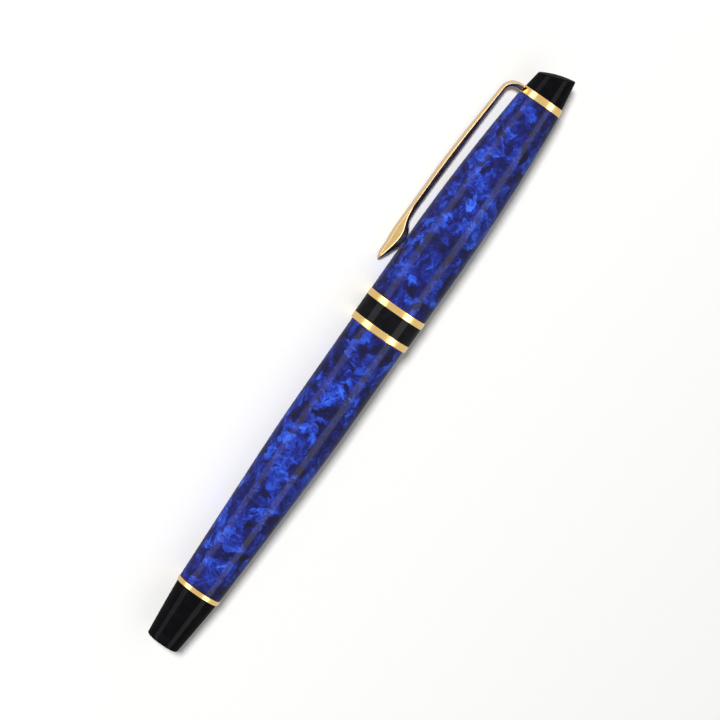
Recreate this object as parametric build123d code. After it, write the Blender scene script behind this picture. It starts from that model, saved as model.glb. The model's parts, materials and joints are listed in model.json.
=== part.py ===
"""A capped fountain pen lying along X: lacquered brass cap and barrel, gilt trim, screw converter.

The pen's axis is the X axis. X is 0 at the flat tail end and grows towards the cap's slanted finial.
The cap is rolled about X until its clip and its widest ring would both rest on a table below the pen.
The top of the nib faces +Z. Every size is in millimetres.
"""

import os
from math import asin, atan2, cos, degrees, hypot, pi, radians, sin, sqrt

from build123d import *

# ---- clearances -------------------------------------------------------------------------------
press_gap = 0.02  # between pieces that are pressed or glued together
slip_gap = 0.05  # between pieces that slide or turn on each other
free_gap = 0.25  # between pieces that only have to miss each other
cut_room = 1.0  # how far a cutting block runs past what it cuts
join_depth = 0.01  # how far two solids run into each other to join as one

# ---- lengths along the axis -------------------------------------------------------------------
tail_plug_length = 12.5
tail_ring_height = 1.05
barrel_length = 62.85
lip_ring_height = 1.5
centre_band_height = 4.2
upper_ring_height = 1.5
cap_tube_length = 49.4
clip_ring_height = 1.6
finial_length = 6.3

# ---- tail -------------------------------------------------------------------------------------
tail_end_radius = 3.57
tail_base_radius = 4.74
tail_bulge = 0.05
tail_edge_fillet = 0.45
tail_spigot_length = 3.0
tail_ring_small_radius = 4.88
tail_ring_large_radius = 5.04

# ---- barrel -----------------------------------------------------------------------------------
barrel_radius = 6.2
barrel_tail_radius = 4.88
barrel_taper_length = 42.5
barrel_taper_shares = (0.29, 0.35), (0.58, 0.67)  # of the taper's length, and of its rise
barrel_wall = 0.5
tube_edge_fillet = 0.22
ring_edge_fillet = 0.15
barrel_insert_length = 10.5
mouth_ring_height = 1.2
joint_ring_radius = 5.4
joint_ring_height = 0.6

# ---- thread between the section and the barrel ------------------------------------------------
thread_major_radius = 4.7
thread_depth = 0.32
thread_pitch = 0.9
thread_length = 5.4
thread_crest_half = 0.08
thread_foot_half = 0.256
thread_foot_depth = 0.05
nipple_length = 9.0
nipple_wall = 0.48

# ---- grip section -----------------------------------------------------------------------------
section_length = 24.2
section_back_radius = 5.15
section_waist_radius = 4.55
section_front_radius = 4.72
section_waist_from_front = 5.5
section_middle_from_back = 9.68
section_middle_radius = 4.93
front_ring_height = 1.4
clutch_ring_radius = 5.35
clutch_ring_height = 1.2
clutch_ring_from_back = 2.4
clutch_groove_depth = 0.35
housing_wall = 0.53
housing_length = 15.0

# ---- nib and feed -----------------------------------------------------------------------------
nib_thickness = 0.3
nib_radius = 3.3
nib_tip_radius = 1.15
nib_exposed_length = 20.0
nib_seat_length = 9.0
nib_skirt_depth = 0.8
nib_shoulder_from_ring = 4.6
nib_tip_half_width = 0.38
nib_slit_width = 0.1
nib_wing_share = 0.97  # of the nib's radius, at its shoulders
nib_edge_shares = (0.3, 0.66), (0.65, 0.34)  # of the taper's length, and of the nib's radius
breather_radius = 0.6
breather_from_tip = 11.5
tipping_radius = 0.42
feed_exposed_length = 15.6
feed_rise_start = 4.2
feed_tip_lift = 0.75
feed_tip_slope = 0.4
feed_slot_top = 1.075
feed_fin_count = 12
feed_fin_pitch = 0.72
feed_first_fin = 1.0
feed_slot_width = 0.3
feed_core_radius = 1.5
ink_channel_width = 0.4
ink_channel_depth = 0.6
feed_nipple_radius = 1.2
feed_nipple_length = 6.0
feed_nipple_bore = 0.5

# ---- cap --------------------------------------------------------------------------------------
cap_radius = 6.535
cap_arc_from_lip = 18.5
cap_arc_radius = 415.0
cap_wall = 0.4
lip_ring_proud = 0.065
lip_flange_height = 0.35
centre_band_proud = 0.04
upper_ring_proud = 0.105
mouth_bush_wall = 0.27
mouth_bush_length = 11.0
inner_cap_wall = 0.35
inner_cap_from_lip = 2.4
inner_cap_taper_from_lip = 27.0
inner_cap_end_inset = 0.4
inner_cap_end_wall = 1.0
finger_slot_count = 6
finger_slot_width = 0.6
finger_slot_length = 6.5
top_bush_height = 2.2
clip_washer_inset = 0.28
clip_washer_height = 0.8
stud_radius = 1.5
stud_head_radius = 2.4
stud_head_height = 0.8
stud_engagement = 3.0

# ---- clip ring and finial ---------------------------------------------------------------------
clip_ring_proud = 0.01
clip_ring_narrowing = 0.16
finial_step = 0.21
finial_taper = 0.157
finial_spigot_inset = 1.9
finial_slant = 18.6
finial_crown_radius = 18.0
finial_edge_fillet = 0.25

# ---- clip -------------------------------------------------------------------------------------
clip_root_width = 2.7
clip_end_width = 3.5
clip_root_depth = 1.35
clip_top_rise = 2.03
clip_end_rise = 3.1
clip_top_thickness = 0.92
clip_end_thickness = 1.08
clip_bend_radius = 3.2
clip_highest_from_lip = 24.0
clip_contact_gap = 0.12
clip_contact_from_lip = 19.3
clip_toe_from_lip = 12.8
clip_toe_rise = 1.85
clip_heel_from_lip = 22.9
clip_tab_width = 2.2
clip_tab_thickness = 0.6
clip_tab_gap = 0.12
clip_pivot_depth = 0.8
clip_bar_bow = 18.0, 0.38  # back from the bend, and down from the highest line
clip_nose_length = 1.2
clip_nose_drop = 0.3
clip_toe_thickness = 0.55
clip_toe_bulge = 0.12
clip_keel_bow = 0.3

# ---- converter --------------------------------------------------------------------------------
converter_wall = 0.5
converter_mouth_length = 10.0
converter_mouth_seat = 5.0
converter_seat_gap = 1.0
converter_pull_room = 10.0
sleeve_wall = 0.3
sleeve_length = 12.5
sleeve_overlap = 5.0
sleeve_floor = 1.0
nut_length = 2.5
knob_length = 12.4
knob_step = 0.2
knob_bore_radius = 2.1
knob_end_wall = 1.2
knob_flute_count = 18
knob_flute_radius = 0.28
knob_ring_height = 1.0
spindle_radius = 0.85
piston_sleeve_radius = 1.7
piston_end_room = 3.5
seal_length = 4.0
seal_lip_width = 0.9
seal_waist_depth = 0.35

# ---- places along the axis --------------------------------------------------------------------
tail_ring_x = tail_plug_length
barrel_x = tail_ring_x + tail_ring_height
mouth_ring_x = barrel_x + barrel_length
joint_ring_x = mouth_ring_x + mouth_ring_height + slip_gap
section_x = joint_ring_x + joint_ring_height + slip_gap
cap_lip_x = mouth_ring_x + 2 * slip_gap
centre_band_x = cap_lip_x + lip_ring_height
upper_ring_x = centre_band_x + centre_band_height
cap_tube_x = upper_ring_x + upper_ring_height
clip_ring_x = cap_tube_x + cap_tube_length
finial_x = clip_ring_x + clip_ring_height
overall_length = finial_x + finial_length

section_front_x = section_x + section_length
front_ring_x = section_front_x - front_ring_height
clutch_x = section_x + clutch_ring_from_back
housing_x = section_front_x - housing_length
nib_back_x = section_front_x - nib_seat_length
nib_shoulder_x = section_front_x + nib_shoulder_from_ring
nib_tip_x = section_front_x + nib_exposed_length
feed_tip_x = section_front_x + feed_exposed_length

converter_x = housing_x - converter_seat_gap
grip_step_x = converter_x + free_gap
tail_spigot_end_x = barrel_x + tail_spigot_length
knob_x = tail_spigot_end_x + converter_pull_room
sleeve_x = knob_x + knob_length + slip_gap
converter_back_x = sleeve_x + sleeve_length - sleeve_overlap
converter_clear_length = converter_x - converter_mouth_length - converter_back_x
seal_x = converter_back_x + nut_length + free_gap
piston_travel = converter_clear_length - nut_length - seal_length - piston_end_room

bush_x = clip_ring_x - clip_washer_height - top_bush_height
inner_cap_end_x = bush_x - stud_head_height - free_gap

# ---- fits -------------------------------------------------------------------------------------
barrel_bore = barrel_radius - barrel_wall
tail_bore = barrel_tail_radius - barrel_wall
thread_bore = thread_major_radius + slip_gap
nipple_radius = thread_major_radius - thread_depth
nipple_bore = nipple_radius - nipple_wall
housing_bore = nib_radius + press_gap
housing_radius = housing_bore + housing_wall
grip_bore = housing_radius + press_gap
feed_radius = nib_radius - nib_thickness - press_gap
cap_bore = cap_radius - cap_wall
mouth_bush_radius = cap_bore - press_gap
mouth_bush_bore = mouth_bush_radius - mouth_bush_wall
inner_cap_radius = mouth_bush_bore - press_gap
inner_cap_bore = clutch_ring_radius + slip_gap
mouth_ring_radius = mouth_bush_bore - free_gap
mouth_bore_radius = feed_nipple_radius + slip_gap
converter_radius = nipple_bore - 2 * free_gap
converter_bore_radius = converter_radius - converter_wall
knob_radius = converter_radius + knob_step
lip_ring_radius = cap_radius + lip_ring_proud
centre_band_radius = cap_radius + centre_band_proud
upper_ring_radius = cap_radius + upper_ring_proud


def cap_narrowing(x):
    """How much less the cap's radius is at x than in its straight part."""
    past_straight = max(0.0, x - cap_lip_x - cap_arc_from_lip)
    return past_straight**2 / (2 * cap_arc_radius)


top_bush_radius = cap_bore - cap_narrowing(clip_ring_x) - slip_gap
clip_washer_radius = top_bush_radius - clip_washer_inset
inner_cap_end_radius = cap_bore - cap_narrowing(inner_cap_end_x) - inner_cap_end_inset
clip_ring_large_radius = cap_radius - cap_narrowing(clip_ring_x) + clip_ring_proud
clip_ring_small_radius = clip_ring_large_radius - clip_ring_narrowing
clip_pivot_height = clip_ring_large_radius - clip_pivot_depth
finial_spigot_radius = clip_ring_large_radius - finial_spigot_inset
finial_base_radius = clip_ring_small_radius - finial_step
clip_top_height = cap_radius + clip_top_rise
clip_outer_height = cap_radius + clip_end_rise
clip_toe_height = cap_radius + clip_toe_rise
clip_belly_top = clip_top_height - clip_top_thickness
clip_belly_end = clip_outer_height - clip_end_thickness

# ---- roll of the cap, so that the clip and the widest ring touch one plane --------------------
clip_half_width = clip_end_width / 2
clip_reach = hypot(clip_outer_height, clip_half_width)
cap_roll = degrees(asin(upper_ring_radius / clip_reach) - atan2(clip_half_width, clip_outer_height))


def turned(*points):
    """A solid turned about X from a closed outline of (x, radius) points."""
    return revolve(make_face(Polyline(*points, close=True)), Axis.X)


def turned_along(outer, *closing):
    """A solid turned about X from an edge and the (x, radius) points that close its outline."""
    start, end = outer @ 0, outer @ 1
    back = Polyline((end.X, end.Y), *closing, (start.X, start.Y))
    return revolve(make_face([outer, back]), Axis.X)


def ring(x, height, outer, inner):
    """A plain ring about X."""
    return turned((x, inner), (x, outer), (x + height, outer), (x + height, inner))


def rod(x, length, radius):
    """A solid cylinder about X."""
    return turned((x, 0), (x, radius), (x + length, radius), (x + length, 0))


def block(low, high):
    """A box between two corners."""
    size = [b - a for a, b in zip(low, high)]
    middle = [(a + b) / 2 for a, b in zip(low, high)]
    return Pos(*middle) * Box(*size)


def rounded_at(solid, fillet_radius, *places):
    """Rounds the circular edges that lie at the (x, radius) places."""
    edges = []
    for x, radius in places:
        for edge in solid.edges().filter_by(GeomType.CIRCLE):
            if abs(edge.center().X - x) < 1e-3 and abs(edge.radius - radius) < 1e-3:
                edges.append(edge)
    return fillet(edges, fillet_radius)


def rolled(solid):
    """Turns a piece of the cap about X with the clip."""
    return Rot(-cap_roll, 0, 0) * solid


def upright(solid):
    """Turns a piece of the nib unit so that its top faces +Z."""
    return Rot(90, 0, 0) * solid


# ---- tail and barrel --------------------------------------------------------------------------
def tail_plug():
    """Black end plug with a spigot that holds the ring and the tube."""
    side = ThreePointArc(
        (0, tail_end_radius),
        (tail_plug_length / 2, (tail_end_radius + tail_base_radius) / 2 + tail_bulge),
        (tail_plug_length, tail_base_radius),
    )
    spigot_radius = tail_bore - press_gap
    plug = turned_along(
        side,
        (tail_plug_length, spigot_radius),
        (tail_spigot_end_x, spigot_radius),
        (tail_spigot_end_x, 0),
        (0, 0),
    )
    return rounded_at(plug, tail_edge_fillet, (0, tail_end_radius))


def tail_ring():
    """Gilt ring between the plug and the barrel tube."""
    made = turned(
        (tail_ring_x, tail_bore),
        (tail_ring_x, tail_ring_small_radius),
        (barrel_x, tail_ring_large_radius),
        (barrel_x, tail_bore),
    )
    corners = (tail_ring_x, tail_ring_small_radius), (barrel_x, tail_ring_large_radius)
    return rounded_at(made, ring_edge_fillet, *corners)


def barrel_tube():
    """Lacquered brass tube: straight behind the mouth, then a long taper to the tail ring."""
    taper_end_x = barrel_x + barrel_taper_length
    drop = barrel_radius - barrel_tail_radius
    taper = Spline(
        (barrel_x, barrel_tail_radius),
        *[
            (barrel_x + barrel_taper_length * along, barrel_tail_radius + drop * up)
            for along, up in barrel_taper_shares
        ],
        (taper_end_x, barrel_radius),
        tangents=[(1, 0.037), (1, 0)],
    )
    rest = Polyline(
        (taper_end_x, barrel_radius),
        (mouth_ring_x, barrel_radius),
        (mouth_ring_x, barrel_bore),
        (taper_end_x, barrel_bore),
        (tail_spigot_end_x + cut_room, tail_bore),
        (barrel_x, tail_bore),
        (barrel_x, barrel_tail_radius),
    )
    tube = revolve(make_face([taper, rest]), Axis.X)
    corners = (barrel_x, barrel_tail_radius), (mouth_ring_x, barrel_radius)
    return rounded_at(tube, tube_edge_fillet, *corners)


def barrel_insert():
    """Brass bush in the barrel's mouth, bored for the section's thread."""
    x = mouth_ring_x - barrel_insert_length
    return ring(x, barrel_insert_length, barrel_bore - press_gap, thread_bore)


def barrel_mouth_ring():
    """Gilt ring on the barrel's mouth, inside the cap's lip when the pen is closed."""
    made = ring(mouth_ring_x, mouth_ring_height, mouth_ring_radius, thread_bore)
    return rounded_at(made, ring_edge_fillet, (mouth_ring_x + mouth_ring_height, mouth_ring_radius))


def joint_ring():
    """Thin washer between the barrel's mouth ring and the grip section."""
    return ring(joint_ring_x, joint_ring_height, joint_ring_radius, thread_bore)


# ---- section ----------------------------------------------------------------------------------
def section_grip():
    """Black moulded grip, waisted in front, with a groove that holds the clutch ring."""
    waist_x = section_front_x - section_waist_from_front
    outer = Spline(
        (section_x, section_back_radius),
        (section_x + section_middle_from_back, section_middle_radius),
        (waist_x, section_waist_radius),
        (front_ring_x, section_front_radius),
        tangents=[(1, -0.02), (1, 0.07)],
    )
    seat_bore = nipple_radius + press_gap
    grip = turned_along(
        outer,
        (front_ring_x, grip_bore),
        (grip_step_x, grip_bore),
        (grip_step_x, seat_bore),
        (section_x, seat_bore),
    )
    groove_floor = clutch_ring_radius - clutch_groove_depth - slip_gap
    groove_height = clutch_ring_height + 2 * slip_gap
    return grip - ring(clutch_x - slip_gap, groove_height, clutch_ring_radius + cut_room, groove_floor)


def section_nipple():
    """Brass coupling: its plain front is glued into the grip and its thread takes the barrel."""
    x = section_x - nipple_length
    core = ring(x, grip_step_x - press_gap - x, nipple_radius, nipple_bore)
    foot_radius = nipple_radius - thread_foot_depth
    path = Helix(thread_pitch, thread_length, nipple_radius)
    crest_radius = nipple_radius + thread_depth
    with BuildSketch(Plane.XZ) as profile:
        with BuildLine():
            Polyline(
                (foot_radius, -thread_foot_half),
                (crest_radius, -thread_crest_half),
                (crest_radius, thread_crest_half),
                (foot_radius, thread_foot_half),
                close=True,
            )
        make_face()
    ridge = sweep(profile.sketch, path=path, is_frenet=True)
    return core + Pos(x + thread_depth, 0, 0) * Rot(0, 90, 0) * ridge


def section_front_ring():
    """Gilt ring at the grip's front, around the nib."""
    radius = section_front_radius + 0.03
    made = ring(front_ring_x, front_ring_height, radius, grip_bore)
    corners = (front_ring_x, radius), (section_front_x, radius)
    return rounded_at(made, ring_edge_fillet * 2, *corners)


def clutch_ring():
    """Gilt ring in the grip's groove, which the fingers of the cap snap over."""
    inner = clutch_ring_radius - clutch_groove_depth
    made = ring(clutch_x, clutch_ring_height, clutch_ring_radius, inner)
    corners = (clutch_x, clutch_ring_radius), (clutch_x + clutch_ring_height, clutch_ring_radius)
    return rounded_at(made, ring_edge_fillet, *corners)


def nib_housing():
    """Collar that holds the nib on its feed inside the grip."""
    return ring(housing_x, housing_length, housing_radius, housing_bore)


# ---- nib and feed -----------------------------------------------------------------------------
def nib_cone(offset):
    """The nib's turned outer surface, moved inwards by offset, as a solid from back to tip."""
    return turned(
        (nib_back_x, 0),
        (nib_back_x, nib_radius - offset),
        (nib_shoulder_x, nib_radius - offset),
        (nib_tip_x, nib_tip_radius - offset),
        (nib_tip_x, 0),
    )


def nib():
    """Gold nib: a half tube that narrows from its shoulders to the slit tip."""
    shell = nib_cone(0) - nib_cone(nib_thickness)
    seat_end = section_front_x + nib_shoulder_from_ring / 2
    sweep_in = nib_tip_x - nib_shoulder_x
    wing = nib_radius * nib_wing_share
    edge = Spline(
        (nib_shoulder_x, wing),
        *[(nib_shoulder_x + sweep_in * along, nib_radius * out) for along, out in nib_edge_shares],
        (nib_tip_x, nib_tip_half_width),
        tangents=[(1, -0.02), (1, -0.1)],
    )
    outline = make_face(
        [
            edge,
            Polyline(
                (nib_tip_x, nib_tip_half_width),
                (nib_tip_x, 0),
                (seat_end, 0),
                (seat_end, wing),
                (nib_shoulder_x, wing),
            ),
        ]
    )
    side = nib_radius + cut_room
    half = Rot(90, 0, 0) * extrude(outline, side, both=True)
    plan = half + mirror(half, Plane.XY)
    upper = block((seat_end, 0, -nib_radius), (nib_tip_x + cut_room, side, nib_radius))
    seat = block((nib_back_x, -nib_skirt_depth, -side), (seat_end, side, side))
    made = (shell & plan & upper) + (shell & seat)
    slit_x = nib_tip_x - breather_from_tip
    slit = block((slit_x, 0, -nib_slit_width / 2), (nib_tip_x + cut_room, side, nib_slit_width / 2))
    breather = Pos(slit_x, 0, 0) * Rot(-90, 0, 0) * Cylinder(breather_radius, 4 * side)
    return upright(made - slit - breather)


def nib_tipping():
    """Hard ball welded to the end of the nib, split by the slit."""
    centre_y = nib_tip_radius - nib_thickness / 2 - 0.1
    ball = Pos(nib_tip_x + press_gap + tipping_radius * 0.5, centre_y, 0) * Sphere(tipping_radius)
    cut_x = nib_tip_x + press_gap
    side = 2 * tipping_radius
    ball -= block((cut_x - side, 0, -side), (cut_x, 3 * side, side))
    half_slit = nib_slit_width / 2
    ball -= block((cut_x, 0, -half_slit), (cut_x + tipping_radius, 3 * side, half_slit))
    return upright(ball)


def feed():
    """Black finned feed under the nib, with an ink channel and a rear nipple for the converter."""
    body = nib_cone(nib_thickness + press_gap)
    side = nib_radius + cut_room
    body &= block((nib_back_x, -side, -side), (feed_tip_x, side, side))
    back = rod(housing_x, nib_back_x - press_gap - housing_x, housing_bore - press_gap)
    core = rod(housing_x, nib_back_x - housing_x + cut_room, feed_radius)
    below = rod(nib_back_x, nib_seat_length + feed_rise_start / 2, housing_bore - press_gap)
    below &= block((nib_back_x, -side, -side), (nib_shoulder_x, -nib_skirt_depth - slip_gap, side))
    pipe = rod(housing_x - feed_nipple_length, feed_nipple_length, feed_nipple_radius)
    made = body + back + core + below + pipe
    rise_x = section_front_x + feed_rise_start
    wedge = make_face(
        Polyline(
            (rise_x, -side),
            (rise_x, -nib_radius + slip_gap),
            (feed_tip_x, feed_tip_lift),
            (feed_tip_x + cut_room, feed_tip_lift + feed_tip_slope * cut_room),
            (feed_tip_x + cut_room, -side),
            close=True,
        )
    )
    made -= extrude(wedge, side, both=True)
    spine_low = (section_front_x, -feed_core_radius, -feed_core_radius)
    spine = block(spine_low, (feed_tip_x, side, feed_core_radius))
    for fin in range(feed_fin_count):
        x = section_front_x + feed_first_fin + fin * feed_fin_pitch
        slot = block((x, -side, -side), (x + feed_slot_width, feed_slot_top, side))
        made -= slot - spine
    channel_floor = feed_radius - ink_channel_depth
    half_channel = ink_channel_width / 2
    made -= block((nib_back_x, channel_floor, -half_channel), (feed_tip_x, side, half_channel))
    made -= rod(housing_x - feed_nipple_length, feed_nipple_length + 3, feed_nipple_bore)
    return upright(made)


# ---- cap --------------------------------------------------------------------------------------
def cap_arc(radius, x):
    """The cap's long arc from its straight part, of the given radius, to x, as (curve, end radius)."""
    start_x = cap_lip_x + cap_arc_from_lip
    middle_x = (start_x + x) / 2
    end_radius = radius - cap_narrowing(x)
    curve = ThreePointArc((start_x, radius), (middle_x, radius - cap_narrowing(middle_x)), (x, end_radius))
    return curve, end_radius


def cap_tube():
    """Lacquered brass tube of the cap: straight, then a long arc in towards the clip ring."""
    start_x = cap_lip_x + cap_arc_from_lip
    outer, outer_end = cap_arc(cap_radius, clip_ring_x)
    inner, inner_end = cap_arc(cap_bore, clip_ring_x)
    front = Polyline(
        (start_x, cap_radius), (cap_tube_x, cap_radius), (cap_tube_x, cap_bore), (start_x, cap_bore)
    )
    top = Line((clip_ring_x, outer_end), (clip_ring_x, inner_end))
    tube = revolve(make_face([outer, top, inner, front]), Axis.X)
    corners = (cap_tube_x, cap_radius), (clip_ring_x, outer_end)
    return rounded_at(tube, tube_edge_fillet, *corners)


def cap_lip_ring():
    """Gilt ring at the cap's mouth, flanged over the end of the mouth bush."""
    flange_x = cap_lip_x + lip_flange_height
    bore = mouth_bush_radius + press_gap
    made = turned(
        (cap_lip_x, mouth_bush_bore),
        (cap_lip_x, lip_ring_radius),
        (centre_band_x, lip_ring_radius),
        (centre_band_x, bore),
        (flange_x, bore),
        (flange_x, mouth_bush_bore),
    )
    corners = (cap_lip_x, lip_ring_radius), (centre_band_x, lip_ring_radius)
    return rounded_at(made, ring_edge_fillet, *corners)


def cap_centre_band():
    """Plain black band between the two gilt rings."""
    return ring(centre_band_x, centre_band_height, centre_band_radius, mouth_bush_radius + press_gap)


def cap_upper_ring():
    """Gilt ring between the black band and the cap tube."""
    made = ring(upper_ring_x, upper_ring_height, upper_ring_radius, mouth_bush_radius + press_gap)
    corners = (upper_ring_x, upper_ring_radius), (cap_tube_x, upper_ring_radius)
    return rounded_at(made, ring_edge_fillet, *corners)


def cap_mouth_bush():
    """Brass sleeve that carries the rings and joins them to the cap tube."""
    x = cap_lip_x + lip_flange_height + press_gap
    return ring(x, mouth_bush_length, mouth_bush_radius, mouth_bush_bore)


def inner_cap():
    """Moulded liner that seals over the nib, with slotted fingers for the clutch ring."""
    x = cap_lip_x + inner_cap_from_lip
    taper_x = cap_lip_x + inner_cap_taper_from_lip
    end_x = inner_cap_end_x
    made = turned(
        (x, inner_cap_bore),
        (x, inner_cap_radius),
        (taper_x, inner_cap_radius),
        (end_x, inner_cap_end_radius),
        (end_x, 0),
        (end_x - inner_cap_end_wall, 0),
        (end_x - inner_cap_end_wall, inner_cap_end_radius - inner_cap_wall),
        (taper_x, inner_cap_bore),
    )
    slot = block(
        (x, 0, -finger_slot_width / 2),
        (x + finger_slot_length, inner_cap_radius + cut_room, finger_slot_width / 2),
    )
    for turn in range(finger_slot_count):
        made -= Rot(360 * turn / finger_slot_count, 0, 0) * slot
    return rolled(made)


def cap_top_bush():
    """Brass bush in the narrow end of the cap tube, bored for the finial's stud."""
    return ring(bush_x, top_bush_height, top_bush_radius, stud_radius + press_gap)


def clip_washer():
    """Washer that the clip ring is clamped against."""
    return ring(bush_x + top_bush_height, clip_washer_height, clip_washer_radius, stud_radius + press_gap)


def finial_stud():
    """Headed stud that draws the finial, clip ring and washer onto the bush."""
    head = rod(bush_x - stud_head_height, stud_head_height, stud_head_radius)
    shank_length = finial_x + stud_engagement - bush_x
    return head + rod(bush_x - join_depth, shank_length + join_depth, stud_radius)


# ---- clip ring, clip and finial ---------------------------------------------------------------
clip_tab_x = clip_ring_x + (clip_ring_height - clip_tab_thickness) / 2


def clip_ring():
    """Gilt ring under the finial, slotted on one side for the clip's tab."""
    bore = finial_spigot_radius + press_gap
    made = turned(
        (clip_ring_x, bore),
        (clip_ring_x, clip_ring_large_radius),
        (finial_x, clip_ring_small_radius),
        (finial_x, bore),
    )
    corners = (clip_ring_x, clip_ring_large_radius), (finial_x, clip_ring_small_radius)
    made = rounded_at(made, ring_edge_fillet, *corners)
    half_width = clip_tab_width / 2 + clip_tab_gap
    low = (clip_tab_x - clip_tab_gap, 0, -half_width)
    high = (clip_tab_x + clip_tab_thickness + clip_tab_gap, clip_ring_large_radius + cut_room, half_width)
    return rolled(made - block(low, high))


def finial():
    """Black end piece whose slightly domed top slants down towards the clip."""
    far_radius = finial_base_radius - finial_taper * finial_length
    side = far_radius - finial_crown_radius * sin(radians(finial_slant))
    crown_x = overall_length - sqrt(finial_crown_radius**2 - side**2)
    crown_y = -finial_crown_radius * sin(radians(finial_slant))
    spigot_x = clip_ring_x + free_gap
    past_end_x = overall_length + cut_room
    blank = turned(
        (spigot_x, stud_radius + press_gap),
        (spigot_x, finial_spigot_radius),
        (finial_x, finial_spigot_radius),
        (finial_x, finial_base_radius),
        (past_end_x, finial_base_radius - finial_taper * (past_end_x - finial_x)),
        (past_end_x, 0),
        (finial_x + stud_engagement + press_gap, 0),
        (finial_x + stud_engagement + press_gap, stud_radius + press_gap),
    )
    made = blank & Pos(crown_x, crown_y, 0) * Sphere(finial_crown_radius)
    rim = made.edges().sort_by(lambda edge: edge.center().X)[-1]
    return rolled(fillet(rim, finial_edge_fillet))


def clip_outline():
    """The clip's side outline in the XY plane, from its root over the bend to the keeled end."""
    top_x = finial_x - 0.1
    root_x = top_x - clip_root_depth
    root_y = clip_ring_large_radius + clip_tab_gap
    toe_x = cap_lip_x + clip_toe_from_lip
    highest_x = cap_lip_x + clip_highest_from_lip
    contact_x = cap_lip_x + clip_contact_from_lip
    heel_x = cap_lip_x + clip_heel_from_lip
    contact_y = cap_radius + clip_contact_gap
    bend_x = top_x - clip_bend_radius
    bend_y = clip_top_height - clip_bend_radius
    bow_x = bend_x - clip_bar_bow[0]
    nose_y = clip_toe_height + clip_toe_thickness - clip_toe_bulge
    under_y = nose_y - clip_toe_thickness
    corner = sin(radians(45)) * clip_bend_radius
    outer_bend = ThreePointArc(
        (top_x, bend_y), (bend_x + corner, bend_y + corner), (bend_x, clip_top_height)
    )
    back = Spline(
        (bend_x, clip_top_height),
        (bow_x, clip_outer_height - clip_bar_bow[1]),
        (highest_x, clip_outer_height),
        (toe_x + clip_nose_length, clip_outer_height - clip_nose_drop),
        (toe_x, nose_y),
        tangents=[(-1, 0.03), (-0.5, -1)],
    )
    toe = ThreePointArc(
        (toe_x, nose_y),
        (toe_x - clip_toe_bulge, (nose_y + under_y) / 2),
        (toe_x + clip_toe_bulge, under_y),
    )
    keel = Spline(
        (toe_x + clip_toe_bulge, under_y),
        ((toe_x + contact_x) / 2, (clip_toe_height + contact_y) / 2 - clip_keel_bow),
        (contact_x, contact_y),
        ((heel_x + contact_x) / 2, (clip_belly_end + contact_y - clip_keel_bow) / 2),
        (heel_x, clip_belly_end),
        tangents=[(1, -0.3), (1, 0.1)],
    )
    belly = Spline(
        (heel_x, clip_belly_end),
        (bow_x, clip_belly_end - clip_keel_bow),
        (bend_x, clip_belly_top),
        tangents=[(1, 0.0), (1, -0.04)],
    )
    inner = Spline((bend_x, clip_belly_top), (root_x, bend_y), tangents=[(1, -0.04), (0, -1)])
    root = Polyline((root_x, bend_y), (root_x, root_y), (top_x, root_y), (top_x, bend_y))
    return make_face([outer_bend, back, toe, keel, belly, inner, root])


def clip():
    """Gilt clip: a springy bar from the ring, bent along the cap and keeled near its free end."""
    toe_x = cap_lip_x + clip_toe_from_lip
    bar = extrude(clip_outline(), clip_end_width, both=True)
    root_half = clip_root_width / 2
    end_half = clip_end_width / 2
    wide_x = cap_lip_x + clip_highest_from_lip
    plan = make_face(
        Polyline(
            (toe_x - cut_room, end_half),
            (wide_x, end_half),
            (finial_x + cut_room, root_half),
            (finial_x + cut_room, -root_half),
            (wide_x, -end_half),
            (toe_x - cut_room, -end_half),
            close=True,
        )
    )
    made = bar & (Rot(-90, 0, 0) * extrude(plan, clip_outer_height + 5, both=True))
    half_tab = clip_tab_width / 2
    tab_low = (clip_tab_x, clip_pivot_height, -half_tab)
    tab_high = (clip_tab_x + clip_tab_thickness, clip_ring_large_radius + clip_tab_gap + 0.1, half_tab)
    rolled_end = Cylinder(clip_tab_thickness / 2, clip_tab_width)
    tab_end = Pos(clip_tab_x + clip_tab_thickness / 2, clip_pivot_height, 0) * rolled_end
    return rolled(made + block(tab_low, tab_high) + tab_end)


# ---- converter --------------------------------------------------------------------------------
def converter_tube():
    """Clear ink tube whose narrow mouth is pushed onto the feed's nipple."""
    shoulder_x = converter_x - converter_mouth_length
    return turned(
        (converter_back_x, converter_bore_radius),
        (converter_back_x, converter_radius),
        (converter_x, converter_radius),
        (converter_x, mouth_bore_radius),
        (shoulder_x, mouth_bore_radius),
        (shoulder_x, converter_bore_radius),
    )


def converter_sleeve():
    """Gilt sleeve over the back of the ink tube, closed behind by a bored floor."""
    outer = converter_radius + sleeve_wall
    bore = converter_radius + press_gap
    floor_end = sleeve_x + sleeve_floor
    made = turned(
        (sleeve_x, piston_sleeve_radius + free_gap),
        (sleeve_x, outer),
        (sleeve_x + sleeve_length, outer),
        (sleeve_x + sleeve_length, bore),
        (floor_end, bore),
        (floor_end, piston_sleeve_radius + free_gap),
    )
    return rounded_at(made, ring_edge_fillet, (sleeve_x, outer), (sleeve_x + sleeve_length, outer))


def converter_nut():
    """Collar in the back of the ink tube that guides the piston's hollow rod."""
    flange = ring(
        converter_back_x - 1 - press_gap, 1, converter_radius, piston_sleeve_radius + slip_gap
    )
    plug_x = converter_back_x - press_gap - join_depth
    plug = ring(
        plug_x,
        nut_length + join_depth,
        converter_bore_radius - press_gap,
        piston_sleeve_radius + slip_gap,
    )
    return flange + plug


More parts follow.
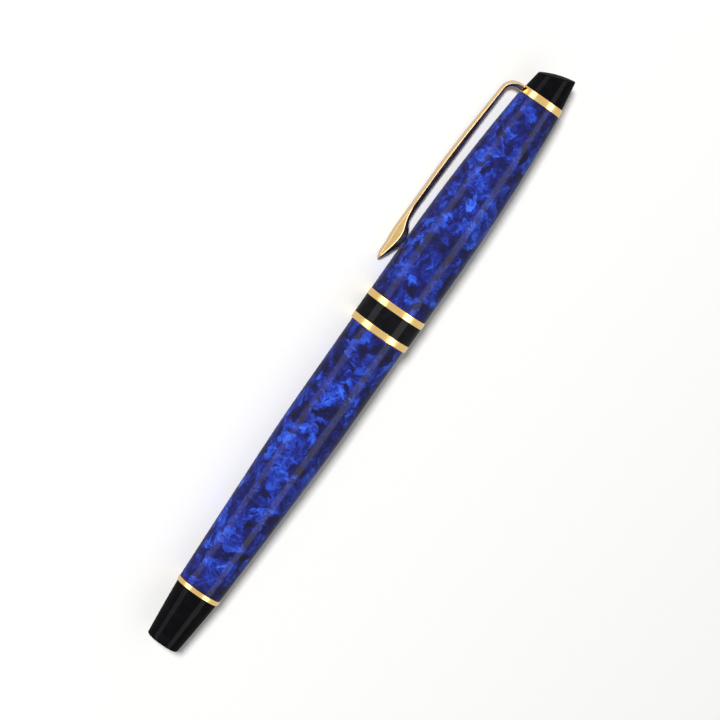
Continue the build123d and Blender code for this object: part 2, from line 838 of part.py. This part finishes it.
def converter_knob():
    """Black fluted knob behind the sleeve, hollow for the piston's rod."""
    made = turned(
        (knob_x, 0),
        (knob_x, knob_radius),
        (knob_x + knob_length - knob_ring_height, knob_radius),
        (knob_x + knob_length - knob_ring_height, knob_bore_radius),
        (knob_x + knob_end_wall, knob_bore_radius),
        (knob_x + knob_end_wall, 0),
    )
    flute = rod(knob_x - 1, knob_length - knob_ring_height, knob_flute_radius)
    for turn in range(knob_flute_count):
        angle = 2 * pi * turn / knob_flute_count
        made -= Pos(0, knob_radius * cos(angle), knob_radius * sin(angle)) * flute
    return made


def knob_ring():
    """Gilt ring on the front of the knob."""
    x = knob_x + knob_length - knob_ring_height
    return ring(x, knob_ring_height, knob_radius, knob_bore_radius)


def converter_spindle():
    """Screw fixed in the knob, on which the piston's hollow rod travels."""
    x = knob_x + knob_end_wall
    return rod(x, seal_x + seal_length / 2 - x, spindle_radius)


def piston_rod():
    """Hollow rod that runs on the spindle and carries the seal."""
    x = seal_x + seal_length / 2 - piston_travel
    return ring(x, seal_x + seal_length - seal_lip_width - x, piston_sleeve_radius, spindle_radius + slip_gap)


def piston_seal():
    """Black seal with two lips and a waist, closed in front."""
    outer = converter_bore_radius - slip_gap
    bore = piston_sleeve_radius + press_gap
    end_x = seal_x + seal_length
    floor_x = end_x - seal_lip_width + press_gap
    return turned(
        (seal_x, bore),
        (seal_x, outer),
        (seal_x + seal_lip_width, outer),
        (seal_x + seal_lip_width + seal_waist_depth, outer - seal_waist_depth),
        (end_x - seal_lip_width - seal_waist_depth, outer - seal_waist_depth),
        (end_x - seal_lip_width, outer),
        (end_x, outer),
        (end_x, 0),
        (floor_x, 0),
        (floor_x, bore),
    )


sub_parts = [
    tail_plug, tail_ring, barrel_tube, barrel_insert, barrel_mouth_ring, joint_ring,
    section_grip, section_nipple, section_front_ring, clutch_ring, nib_housing, nib, nib_tipping, feed,
    cap_tube, cap_lip_ring, cap_centre_band, cap_upper_ring, cap_mouth_bush, inner_cap, cap_top_bush,
    clip_washer, finial_stud, clip_ring, finial, clip,
    converter_tube, converter_sleeve, converter_nut, converter_knob, knob_ring, converter_spindle,
    piston_rod, piston_seal,
]

os.makedirs("parts", exist_ok=True)
for make in sub_parts:
    export_step(make(), f"parts/{make.__name__}.step")
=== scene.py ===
"""Looks of the fountain pen: marbled lacquer, gilt metal, black resin, camera, lights and floor.

Lengths are metres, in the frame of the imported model: +X runs along the pen from tail to finial.
"""

import json
from math import cos, pi, radians, sin, sqrt, tan

import bmesh
import bpy
from mathutils import Matrix, Vector
from mathutils.bvhtree import BVHTree


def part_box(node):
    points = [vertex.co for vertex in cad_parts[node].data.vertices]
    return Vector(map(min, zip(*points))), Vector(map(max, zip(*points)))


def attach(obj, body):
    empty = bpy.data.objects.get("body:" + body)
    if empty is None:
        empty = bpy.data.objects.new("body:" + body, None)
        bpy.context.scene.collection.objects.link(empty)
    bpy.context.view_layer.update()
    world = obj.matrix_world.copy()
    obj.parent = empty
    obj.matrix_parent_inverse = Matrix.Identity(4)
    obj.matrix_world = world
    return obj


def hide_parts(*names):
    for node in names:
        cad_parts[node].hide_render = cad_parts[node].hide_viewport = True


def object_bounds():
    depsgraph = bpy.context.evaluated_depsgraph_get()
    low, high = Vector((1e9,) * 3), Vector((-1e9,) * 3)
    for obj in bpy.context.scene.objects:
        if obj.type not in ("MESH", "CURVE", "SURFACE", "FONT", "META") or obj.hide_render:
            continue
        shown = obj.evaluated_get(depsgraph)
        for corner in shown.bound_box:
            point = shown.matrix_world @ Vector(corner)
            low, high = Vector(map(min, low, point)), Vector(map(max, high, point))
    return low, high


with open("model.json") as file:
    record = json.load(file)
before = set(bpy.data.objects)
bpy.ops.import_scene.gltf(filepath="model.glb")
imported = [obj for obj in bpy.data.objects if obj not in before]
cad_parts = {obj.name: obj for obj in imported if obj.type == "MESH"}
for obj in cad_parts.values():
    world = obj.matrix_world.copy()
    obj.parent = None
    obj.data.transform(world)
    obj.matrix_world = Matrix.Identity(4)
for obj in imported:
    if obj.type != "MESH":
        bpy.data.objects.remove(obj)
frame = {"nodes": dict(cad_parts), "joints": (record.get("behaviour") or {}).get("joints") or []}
cad_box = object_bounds()
MM = 0.001
pen_axis = Vector((1.0, 0.0, 0.0))


# ---- shader helpers -----------------------------------------------------------------------------
class Nodes:
    """A material's node tree, with short calls that add a node and link its inputs."""

    def __init__(self, name):
        self.material = bpy.data.materials.new(name)
        self.material.use_nodes = True
        self.tree = self.material.node_tree
        self.shader = self.tree.nodes["Principled BSDF"]

    def put(self, socket, value):
        """Links a socket to another, or sets its value."""
        if isinstance(value, bpy.types.NodeSocket):
            self.tree.links.new(value, socket)
        else:
            socket.default_value = value

    def add(self, kind, settings=None, **inputs):
        """Adds a node; settings are its properties, and inputs its sockets by name."""
        node = self.tree.nodes.new("ShaderNode" + kind)
        for key, value in (settings or {}).items():
            setattr(node, key, value)
        for key, value in inputs.items():
            self.put(node.inputs[key.replace("_", " ")], value)
        return node

    def math(self, operation, a, b=0.0):
        """One maths node's result."""
        node = self.tree.nodes.new("ShaderNodeMath")
        node.operation = operation
        self.put(node.inputs[0], a)
        self.put(node.inputs[1], b)
        return node.outputs[0]

    def vector(self, operation, a, b):
        """One vector maths node's result."""
        node = self.tree.nodes.new("ShaderNodeVectorMath")
        node.operation = operation
        self.put(node.inputs[0], a)
        if operation == "SCALE":
            self.put(node.inputs["Scale"], b)
        else:
            self.put(node.inputs[1], b)
        return node.outputs[0]

    def mix(self, factor, a, b):
        """A colour mixed from two others."""
        node = self.tree.nodes.new("ShaderNodeMix")
        node.data_type = "RGBA"
        self.put(node.inputs["Factor"], factor)
        self.put(node.inputs["A"], a)
        self.put(node.inputs["B"], b)
        return node.outputs["Result"]

    def ramp(self, factor, *stops):
        """A colour from a ramp of (place, colour) stops."""
        node = self.tree.nodes.new("ShaderNodeValToRGB")
        elements = node.color_ramp.elements
        while len(elements) < len(stops):
            elements.new(1.0)
        for element, (place, colour) in zip(elements, stops):
            element.position = place
            element.color = (*colour, 1.0)
        self.put(node.inputs[0], factor)
        return node.outputs[0]

    def steps(self, value, low, high):
        """0 below low, 1 above high, smooth between."""
        node = self.tree.nodes.new("ShaderNodeMapRange")
        node.interpolation_type = "SMOOTHSTEP"
        self.put(node.inputs["Value"], value)
        self.put(node.inputs["From Min"], low)
        self.put(node.inputs["From Max"], high)
        return node.outputs[0]

    def place(self):
        """The point on the piece in millimetres, in the pen's frame."""
        return self.vector("SCALE", self.add("TexCoord").outputs["Object"], 1 / MM)

    def noise(self, where, scale, detail=4.0, roughness=0.55, distortion=0.0):
        """A noise texture node, its scale per millimetre when where is place()."""
        return self.add(
            "TexNoise",
            Vector=where,
            Scale=scale,
            Detail=detail,
            Roughness=roughness,
            Distortion=distortion,
        )

    def bump(self, height, strength, distance):
        """A bump normal from a height."""
        return self.add("Bump", Height=height, Strength=strength, Distance=distance).outputs[0]

    def surface(self, **inputs):
        """Sets or links inputs of the Principled shader."""
        for key, value in inputs.items():
            self.put(self.shader.inputs[key.replace("_", " ")], value)
        return self.material


# ---- materials ----------------------------------------------------------------------------------
SEED_STEP = (41.0, 17.0, 29.0)  # moves the marbling, so that the cap's differs from the barrel's
POLISH_DEPTH = 0.03 * MM
TOOL_DEPTH = 0.04 * MM
MOULDING_RIPPLE = 0.1 * MM
LACQUER_RIPPLE = 0.4 * MM


def marbled_lacquer(name, seed):
    """Deep blue marbled lacquer: feathery flakes and dark clouds under a clear gloss coat."""
    n = Nodes(name)
    place = n.vector("ADD", n.place(), tuple(seed * step for step in SEED_STEP))
    half = (0.5, 0.5, 0.5)
    drift = n.vector("SUBTRACT", n.noise(place, 0.17, 3.0, 0.55).outputs["Color"], half)
    warped = n.vector("ADD", place, n.vector("SCALE", drift, 6.0))
    fine = n.vector("SUBTRACT", n.noise(warped, 0.85, 4.0, 0.65).outputs["Color"], half)
    torn = n.vector("ADD", warped, n.vector("SCALE", fine, 1.9))

    def centred(value, amount):
        """A value's swing about its middle, times an amount."""
        return n.math("MULTIPLY", n.math("SUBTRACT", value, 0.5), amount)

    def flakes(scale, smoothness):
        """Voronoi flakes: each one's own shade, and fibres across it in its own direction."""
        cells = n.add(
            "TexVoronoi", {"feature": "SMOOTH_F1"}, Vector=torn, Scale=scale, Smoothness=smoothness
        )
        own = cells.outputs["Color"]
        shade = n.add("SeparateColor", Color=own).outputs[0]
        along = n.add("VectorMath", {"operation": "DOT_PRODUCT"})
        n.put(along.inputs[0], torn)
        n.put(along.inputs[1], n.vector("SUBTRACT", own, half))
        fibre = n.add(
            "TexNoise", {"noise_dimensions": "1D"}, W=along.outputs["Value"], Scale=3.4, Detail=3.0
        )
        return shade, fibre.outputs["Fac"]

    shade, fibre = flakes(0.42, 0.12)
    chip, hair = flakes(1.1, 0.1)
    clouds = n.noise(warped, 0.14, 3.0, 0.55, 0.3).outputs["Fac"]
    patches = n.noise(torn, 0.38, 5.0, 0.68, 0.6).outputs["Fac"]
    creases = n.noise(torn, 0.42, 5.0, 0.7, 0.8).outputs["Fac"]
    ridge = n.math("ABSOLUTE", n.math("SUBTRACT", creases, 0.5))
    crack = n.math("SUBTRACT", 1.0, n.steps(ridge, 0.0, 0.05))
    cracked = n.steps(n.noise(warped, 0.2, 2.0, 0.5).outputs["Fac"], 0.46, 0.62)

    tone = 0.5
    weights = ((clouds, 0.40), (shade, 0.34), (fibre, 0.30), (chip, 0.16), (hair, 0.20), (patches, 1.0))
    for value, amount in weights:
        tone = n.math("ADD", tone, centred(value, amount))
    tone = n.math("SUBTRACT", tone, n.math("MULTIPLY", n.math("MULTIPLY", crack, cracked), 0.16))
    colour = n.ramp(
        tone,
        (0.20, (0.0060, 0.0060, 0.020)),
        (0.36, (0.0070, 0.0080, 0.060)),
        (0.49, (0.0090, 0.0135, 0.135)),
        (0.61, (0.0135, 0.0320, 0.265)),
        (0.73, (0.0210, 0.0670, 0.450)),
        (0.90, (0.0430, 0.1330, 0.690)),
    )
    veil = n.steps(n.noise(torn, 0.16, 4.0, 0.6, 0.8).outputs["Fac"], 0.52, 0.70)
    colour = n.mix(n.math("MULTIPLY", veil, 0.4), colour, (0.012, 0.011, 0.050, 1.0))
    waves = n.noise(place, 0.5, 2.0, 0.4).outputs["Fac"]
    n.surface(
        Base_Color=colour,
        Metallic=0.0,
        Roughness=0.5,
        Specular_IOR_Level=0.0,
        Coat_Weight=0.32,
        Coat_Roughness=0.15,
        Coat_IOR=1.45,
        Coat_Normal=n.bump(waves, 0.05, LACQUER_RIPPLE),
    )
    return n.material


def gold(name, tint=(0.98, 0.65, 0.24), roughness=0.22, lathe=0.0, grain=0.10):
    """Polished gold plate; its marks run round the pen when lathe is set, or else along it."""
    n = Nodes(name)
    place = n.place()
    cloud = n.noise(place, 0.9, 3.0, 0.5).outputs["Fac"]
    pale = tuple(min(1.0, 1.04 * c + 0.02) for c in tint)
    colour = n.mix(n.steps(cloud, 0.35, 0.7), (*tint, 1.0), (*pale, 1.0))
    scuff = n.noise(place, 6.0, 4.0, 0.6).outputs["Fac"]
    rough = n.math("ADD", roughness, n.math("MULTIPLY", n.math("SUBTRACT", scuff, 0.5), 0.12))
    stretch = (18.0, 0.35, 0.35) if lathe else (1.0, 9.0, 9.0)
    marks = n.noise(n.vector("MULTIPLY", place, stretch), 1.0, 2.0, 0.5).outputs["Fac"]
    n.surface(
        Base_Color=colour,
        Metallic=1.0,
        Roughness=rough,
        Normal=n.bump(marks, grain + lathe, POLISH_DEPTH),
    )
    return n.material


def black_resin(name, base=(0.0016, 0.0016, 0.0022), roughness=0.22, coat=0.10):
    """Polished black resin with a faint depth and very fine polishing marks."""
    n = Nodes(name)
    place = n.place()
    cloud = n.noise(place, 0.5, 3.0, 0.5).outputs["Fac"]
    lighter = tuple(2.2 * c for c in base)
    colour = n.mix(n.steps(cloud, 0.4, 0.75), (*base, 1.0), (*lighter, 1.0))
    scuff = n.noise(n.vector("MULTIPLY", place, (2.0, 8.0, 8.0)), 2.0, 4.0, 0.6).outputs["Fac"]
    rough = n.math("ADD", roughness, n.math("MULTIPLY", n.math("SUBTRACT", scuff, 0.5), 0.1))
    n.surface(
        Base_Color=colour,
        Roughness=rough,
        Specular_IOR_Level=0.0,
        Coat_Weight=coat,
        Coat_Roughness=0.08,
        Normal=n.bump(scuff, 0.05, POLISH_DEPTH),
    )
    return n.material


def moulded_black(name):
    """Satin black moulding with a fine grain."""
    n = Nodes(name)
    place = n.place()
    grain = n.noise(place, 9.0, 3.0, 0.6).outputs["Fac"]
    colour = n.mix(grain, (0.012, 0.012, 0.014, 1.0), (0.028, 0.028, 0.031, 1.0))
    n.surface(
        Base_Color=colour,
        Roughness=n.math("ADD", 0.36, n.math("MULTIPLY", grain, 0.16)),
        Normal=n.bump(grain, 0.12, POLISH_DEPTH),
    )
    return n.material


def turned_metal(name, tint, roughness=0.3):
    """Machined metal with fine tool marks round X."""
    n = Nodes(name)
    place = n.place()
    marks = n.noise(n.vector("MULTIPLY", place, (14.0, 0.3, 0.3)), 1.0, 3.0, 0.6).outputs["Fac"]
    tone = n.mix(marks, (*[0.8 * c for c in tint], 1.0), (*tint, 1.0))
    n.surface(
        Base_Color=tone,
        Metallic=1.0,
        Roughness=n.math("ADD", roughness, n.math("MULTIPLY", marks, 0.15)),
        Normal=n.bump(marks, 0.25, TOOL_DEPTH),
    )
    return n.material


def clear_plastic(name):
    """Clear polished plastic of the ink tube."""
    n = Nodes(name)
    place = n.place()
    ripple = n.noise(n.vector("MULTIPLY", place, (0.4, 1.0, 1.0)), 0.8, 2.0, 0.4).outputs["Fac"]
    haze = n.noise(place, 5.0, 3.0, 0.6).outputs["Fac"]
    n.surface(
        Base_Color=n.mix(haze, (0.93, 0.95, 0.96, 1.0), (0.98, 0.985, 0.99, 1.0)),
        Roughness=n.math("MULTIPLY", haze, 0.09),
        Transmission_Weight=0.92,
        IOR=1.49,
        Normal=n.bump(ripple, 0.05, MOULDING_RIPPLE),
    )
    return n.material


def rubber(name):
    """Matt black rubber of the piston's seal."""
    n = Nodes(name)
    grain = n.noise(n.place(), 7.0, 4.0, 0.65).outputs["Fac"]
    n.surface(
        Base_Color=n.mix(grain, (0.010, 0.010, 0.010, 1.0), (0.03, 0.03, 0.03, 1.0)),
        Roughness=n.math("ADD", 0.5, n.math("MULTIPLY", grain, 0.25)),
        Normal=n.bump(grain, 0.2, TOOL_DEPTH),
    )
    return n.material


def paper(name):
    """Pale warm paper for the floor."""
    n = Nodes(name)
    grain = n.noise(n.place(), 1.2, 5.0, 0.6).outputs["Fac"]
    n.surface(
        Base_Color=n.mix(grain, (0.93, 0.928, 0.915, 1.0), (0.955, 0.952, 0.94, 1.0)),
        Roughness=0.85,
        Specular_IOR_Level=0.15,
    )
    return n.material


lacquer_cap = marbled_lacquer("lacquer_cap", 1.0)
lacquer_barrel = marbled_lacquer("lacquer_barrel", 2.0)
gold_rings = gold("gold_rings", lathe=0.25)
gold_clip = gold("gold_clip", tint=(0.90, 0.61, 0.27), roughness=0.17, grain=0.0)
nib_gold = gold("nib_gold", tint=(0.98, 0.76, 0.40), roughness=0.12)
resin = black_resin("black_resin")
band_resin = black_resin("band_resin", base=(0.002, 0.002, 0.003), roughness=0.28, coat=0.20)
moulding = moulded_black("moulded_black")
brass = turned_metal("machined_brass", (0.78, 0.56, 0.25))
steel = turned_metal("machined_steel", (0.62, 0.62, 0.63))
point_metal = turned_metal("nib_point_metal", (0.78, 0.78, 0.76), roughness=0.15)
clear = clear_plastic("clear_plastic")
seal = rubber("seal_rubber")

FINISHES = {
    lacquer_cap: ["cap_tube"],
    lacquer_barrel: ["barrel_tube"],
    gold_rings: ["cap_lip_ring", "cap_upper_ring", "tail_ring", "clip_ring", "barrel_mouth_ring",
                 "joint_ring", "clutch_ring", "section_front_ring", "converter_sleeve", "knob_ring"],
    gold_clip: ["clip"],
    nib_gold: ["nib"],
    resin: ["tail_plug", "finial", "section_grip"],
    band_resin: ["cap_centre_band"],
    moulding: ["inner_cap", "nib_housing", "feed", "converter_nut", "converter_knob", "piston_rod"],
    brass: ["barrel_insert", "section_nipple", "cap_mouth_bush", "cap_top_bush"],
    steel: ["clip_washer", "finial_stud", "converter_spindle"],
    point_metal: ["nib_tipping"],
    clear: ["converter_tube"],
    seal: ["piston_seal"],
}
for finish, names in FINISHES.items():
    for name in names:
        for slot in frame["nodes"][name].material_slots:
            slot.material = finish

# ---- the clip -----------------------------------------------------------------------------------
PROBE_REACH = 30.0 * MM
PROBE_START = 10.0 * MM  # how far to the clip's side a width probe starts
PROBE_INSET = 0.04 * MM  # from the toe's end to the first section
THINNEST = 0.05 * MM  # a thinner section is left out
BAR_SECTIONS = 90
BEND_SECTIONS = 12
BEND_RADIUS = 3.2 * MM
FOOT_STRIP = 0.2 * MM  # how far from the clip's end its lowest point is looked for
FOOT_DROP = 0.07 * MM  # how far the foot goes on past that point, into the clip ring
FOOT_SHARES = (0.35, 0.7, 1.0)

BAR_NARROWING = 0.72  # the bar's width as a share of the CAD node's
BAR_BOW = 0.42 * MM  # how far the bar's outer face bows out
BAR_DEPTH = 1.25 * MM  # the keel is deeper than this, and the bar isn't
HEEL_BLEND = 3.0 * MM  # from the keel's section to the bar's
CREST_FROM_TOE = 4.0 * MM  # where the outer face is highest
KEEL_FROM_TOE = 6.0 * MM  # where the toe's lift ends
TIP_LIFT = 0.8 * MM
TIP_DROP = 0.5 * MM
TIP_CURVE = 6  # the power of the drop to the tip, so that the crest stays flat
TOE_ROUNDING = 2.6 * MM
TIP_HALF_WIDTH = 0.30 * MM

KEEL_WAIST = 0.50  # where the pinch starts, up from the inner face, as a share of the height
HEEL_WAIST = 0.93
ROOT_WAIST = 0.76
PINCH_ANGLE = radians(42.0)
MOST_PINCH = 0.80  # of the half width
CROWN = 0.10 * MM  # how far the outer face falls towards its edges
EDGE_RADIUS = 0.16 * MM
EDGE_STEPS = 5
EDGE_SHARE = 0.45  # the most that a rounded corner takes of the side next to it


def clip_frame():
    """Directions out of the clip and across it, from its hinge."""
    hinge = next(joint for joint in frame["joints"] if joint["name"] == "clip_flex")
    side = Vector(hinge["axis"]).normalized()
    out = side.cross(pen_axis).normalized()
    centre = sum((Vector(corner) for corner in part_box("clip")), Vector()) / 2
    return (out if out.dot(centre) > 0 else -out), side


def clip_sections(out, side):
    """Sections from toe to root, read off the CAD node: (inner point, outer point, half width)."""
    node = frame["nodes"]["clip"]
    mesh = bmesh.new()
    mesh.from_mesh(node.data)
    mesh.transform(node.matrix_world)
    tree = BVHTree.FromBMesh(mesh)
    low, high = (Vector(corner).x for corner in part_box("clip"))
    highest = max(vertex.co.dot(out) for vertex in mesh.verts)
    sections = []

    def probe(start, direction):
        return tree.ray_cast(start, direction, PROBE_REACH)[0]

    def half_width(point):
        hit = probe(point + side * PROBE_START, -side)
        return 0.0 if hit is None else hit.dot(side)

    def add_section(inner, outer):
        """Keeps a section where both probes met the clip and it has some thickness."""
        if outer and inner and (outer - inner).length > THINNEST:
            sections.append((inner, outer, half_width((inner + outer) / 2)))

    first_x = low + PROBE_INSET
    bend_x = high - BEND_RADIUS
    for step in range(BAR_SECTIONS + 1):
        on_axis = pen_axis * (first_x + (bend_x - first_x) * step / BAR_SECTIONS)
        add_section(probe(on_axis, out), probe(on_axis + out * (highest + MM), -out))
    bend_centre = pen_axis * bend_x + out * (sections[-1][1].dot(out) - BEND_RADIUS)
    for step in range(1, BEND_SECTIONS + 1):
        angle = step / BEND_SECTIONS * pi / 2
        direction = out * cos(angle) + pen_axis * sin(angle)
        beyond = bend_centre + direction * BEND_RADIUS * 2
        add_section(probe(bend_centre, direction), probe(beyond, -direction))
    foot = min(vertex.co.dot(out) for vertex in mesh.verts if vertex.co.x > high - FOOT_STRIP)
    inner, outer, half = sections[-1]
    drop = out * (outer.dot(out) - foot + FOOT_DROP)
    for share in FOOT_SHARES:
        sections.append((inner - drop * share, outer - drop * share, half))
    mesh.free()
    return sections


def share_past(x, start, length):
    """How far x is past start, as a share of length from 0 to 1."""
    return min(1.0, max(0.0, (x - start) / length))


def shaped(sections, out):
    """The sections with a bowed, narrower bar and a rounded toe: (inner, outer, half width, waist)."""
    depths = [(outer - inner).length for inner, outer, half in sections]
    deepest = depths.index(max(depths))
    heel = next(i for i in range(deepest, len(depths)) if depths[i] < BAR_DEPTH)
    toe_x, heel_x, root_x = (sections[i][1].x for i in (0, heel, -1))
    bend_x = root_x - BEND_RADIUS
    crest_x = toe_x + CREST_FROM_TOE
    crest_out = max(outer.dot(out) for inner, outer, half in sections if outer.x < crest_x)
    made = []
    for inner, outer, half in sections:
        x = outer.x
        if x < crest_x:
            to_tip = (crest_x - x) / CREST_FROM_TOE
            outer = outer + out * (crest_out - TIP_DROP * to_tip**TIP_CURVE - outer.dot(out))
        outer = outer + out * BAR_BOW * sin(pi * share_past(x, crest_x, bend_x - crest_x))
        inner = inner + out * TIP_LIFT * (1 - share_past(x, toe_x, KEEL_FROM_TOE))

        past_bend = share_past(x, bend_x, BEND_RADIUS)
        half *= 1 - (1 - BAR_NARROWING) * (1 - past_bend**2)
        bulge = sqrt(1 - (1 - share_past(x, toe_x, TOE_ROUNDING)) ** 2)
        half = TIP_HALF_WIDTH + (half - TIP_HALF_WIDTH) * bulge

        waist = HEEL_WAIST + (ROOT_WAIST - HEEL_WAIST) * share_past(x, heel_x, root_x - heel_x)
        waist = KEEL_WAIST + (waist - KEEL_WAIST) * share_past(x, heel_x, HEEL_BLEND)
        made.append((inner, outer, half, waist))
    return made


def rounded_section(inner, outer, half, waist_share, side):
    """A section's loop of points: flat sides, an inner part pinched towards the cap, round corners."""
    up = (outer - inner).normalized()
    height = (outer - inner).length
    waist = waist_share * height
    foot = half - min(waist * tan(PINCH_ANGLE), MOST_PINCH * half)
    corners = ((half, height), (-half, height), (-half, waist), (-foot, 0), (foot, 0), (half, waist))
    outline = [Vector(corner) for corner in corners]
    loop = []
    for i, corner in enumerate(outline):
        before, after = outline[i - 1] - corner, outline[(i + 1) % len(outline)] - corner
        reach = min(EDGE_RADIUS, EDGE_SHARE * before.length, EDGE_SHARE * after.length)
        start, end = corner + before.normalized() * reach, corner + after.normalized() * reach
        for step in range(EDGE_STEPS + 1):
            t = step / EDGE_STEPS
            point = start * (1 - t) ** 2 + corner * 2 * t * (1 - t) + end * t * t
            sunk = CROWN * (point.x / half) ** 2 * share_past(point.y, 0.0, height)
            loop.append(inner + side * point.x + up * (point.y - sunk))
    return loop


def clip_piece():
    """The clip as a lofted bar with rounded edges, in the CAD node's place."""
    out, side = clip_frame()
    sections = shaped(clip_sections(out, side), out)
    made = bmesh.new()
    rows = [[made.verts.new(point) for point in rounded_section(*section, side)] for section in sections]
    for row, after in zip(rows, rows[1:]):
        for i in range(len(row)):
            j = (i + 1) % len(row)
            made.faces.new((row[i], row[j], after[j], after[i]))
    made.faces.new(rows[0])
    made.faces.new(rows[-1])
    bmesh.ops.recalc_face_normals(made, faces=made.faces)
    data = bpy.data.meshes.new("clip_bar")
    made.to_mesh(data)
    made.free()
    for face in data.polygons:
        face.use_smooth = len(face.vertices) == 4
    data.materials.append(gold_clip)
    piece = bpy.data.objects.new("clip_bar", data)
    bpy.context.scene.collection.objects.link(piece)
    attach(piece, "clip_arm")
    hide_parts("clip")


clip_piece()

# ---- camera -------------------------------------------------------------------------------------
PEN_TURN_IN_VIEW = radians(35.04)
CAMERA_HEIGHT = radians(42.0)
CAMERA_TILT = radians(3.3)
CAMERA_DISTANCE = 0.792
VIEW_CENTRE_X = 0.0702
SENSOR_MM = 36.0
FIELD_OF_VIEW = radians(10.5)
FARTHEST_SEEN = 20.0

across = Vector((0.0, cos(CAMERA_HEIGHT), sin(CAMERA_HEIGHT)))
toward_camera = across * cos(CAMERA_TILT) + pen_axis * sin(CAMERA_TILT)
forward = -toward_camera
pen_in_view = (pen_axis - forward * pen_axis.dot(forward)).normalized()
beside_pen = forward.cross(pen_in_view)
right = beside_pen * cos(PEN_TURN_IN_VIEW) + pen_in_view * sin(PEN_TURN_IN_VIEW)
up = pen_in_view * cos(PEN_TURN_IN_VIEW) - beside_pen * sin(PEN_TURN_IN_VIEW)
view_centre = pen_axis * VIEW_CENTRE_X
camera_place = view_centre + toward_camera * CAMERA_DISTANCE


def facing(place, x_axis, y_axis, z_axis):
    """The matrix of an object at place with the given local axes."""
    turn = Matrix((x_axis, y_axis, z_axis)).transposed().to_4x4()
    return Matrix.Translation(place) @ turn


camera_data = bpy.data.cameras.new("camera")
camera_data.sensor_width = SENSOR_MM
camera_data.lens = SENSOR_MM / (2 * tan(FIELD_OF_VIEW / 2))
camera_data.clip_end = FARTHEST_SEEN
camera = bpy.data.objects.new("camera", camera_data)
bpy.context.scene.collection.objects.link(camera)
camera.matrix_world = facing(camera_place, right, up, toward_camera)
bpy.context.scene.camera = camera


# ---- floor and lights ---------------------------------------------------------------------------
FLOOR_REACH = 3.0
ROOM_COLOUR = (1.0, 0.995, 0.98, 1.0)
ROOM_SHADE = 0.27  # the room's strength where it lights matt surfaces
ROOM_SHINE = 0.72  # and where it is reflected


def floor():
    """A large pale sheet under the pen."""
    data = bpy.data.meshes.new("floor")
    height = cad_box[0][2]
    turns = ((-1, -1), (1, -1), (1, 1), (-1, 1))
    corners = [(x * FLOOR_REACH, y * FLOOR_REACH, height) for x, y in turns]
    data.from_pydata(corners, [], [(0, 1, 2, 3)])
    made = bpy.data.objects.new("floor", data)
    bpy.context.scene.collection.objects.link(made)
    made.data.materials.append(paper("paper"))
    made.visible_glossy = False


def softbox(name, direction, distance, width, length, radiance, use):
    """A soft light that faces the pen, its length along the pen; it gives only shine or only shade."""
    data = bpy.data.lights.new(name, "AREA")
    data.shape = "RECTANGLE"
    data.size = length
    data.size_y = width
    data.energy = radiance * pi * width * length
    made = bpy.data.objects.new(name, data)
    bpy.context.scene.collection.objects.link(made)
    z_axis = Vector(direction).normalized()
    y_axis = z_axis.cross(pen_axis).normalized()
    x_axis = y_axis.cross(z_axis)
    made.matrix_world = facing(view_centre + z_axis * distance, x_axis, y_axis, z_axis)
    made.visible_diffuse = use != "shine"
    made.visible_glossy = use != "shade"


def about_pen(angle_from_camera):
    """The direction at an angle round the pen from the camera; positive is to the picture's right."""
    angle = CAMERA_HEIGHT + radians(angle_from_camera)
    return Vector((0.0, cos(angle), sin(angle)))


def room():
    """The pale room round the pen, stronger in reflections than in shade."""
    world = bpy.data.worlds.new("studio")
    world.use_nodes = True
    tree = world.node_tree
    background = tree.nodes["Background"]
    background.inputs["Color"].default_value = ROOM_COLOUR
    ray = tree.nodes.new("ShaderNodeLightPath")
    strength = tree.nodes.new("ShaderNodeMapRange")
    strength.inputs["To Min"].default_value = ROOM_SHADE
    strength.inputs["To Max"].default_value = ROOM_SHINE
    tree.links.new(ray.outputs["Is Glossy Ray"], strength.inputs["Value"])
    tree.links.new(strength.outputs["Result"], background.inputs["Strength"])
    bpy.context.scene.world = world


floor()
strip = {"distance": 0.9, "width": 0.44, "length": 1.6, "use": "shine"}
softbox("strip_right", about_pen(56.0), radiance=3.2, **strip)
softbox("strip_left", about_pen(-54.0), radiance=2.6, **strip)
key_direction = about_pen(-4.5) + pen_axis * 0.12
softbox("key", key_direction, distance=3.0, width=0.27, length=0.27, radiance=530.0, use="shade")
room()
bpy.context.scene.view_settings.view_transform = "Standard"
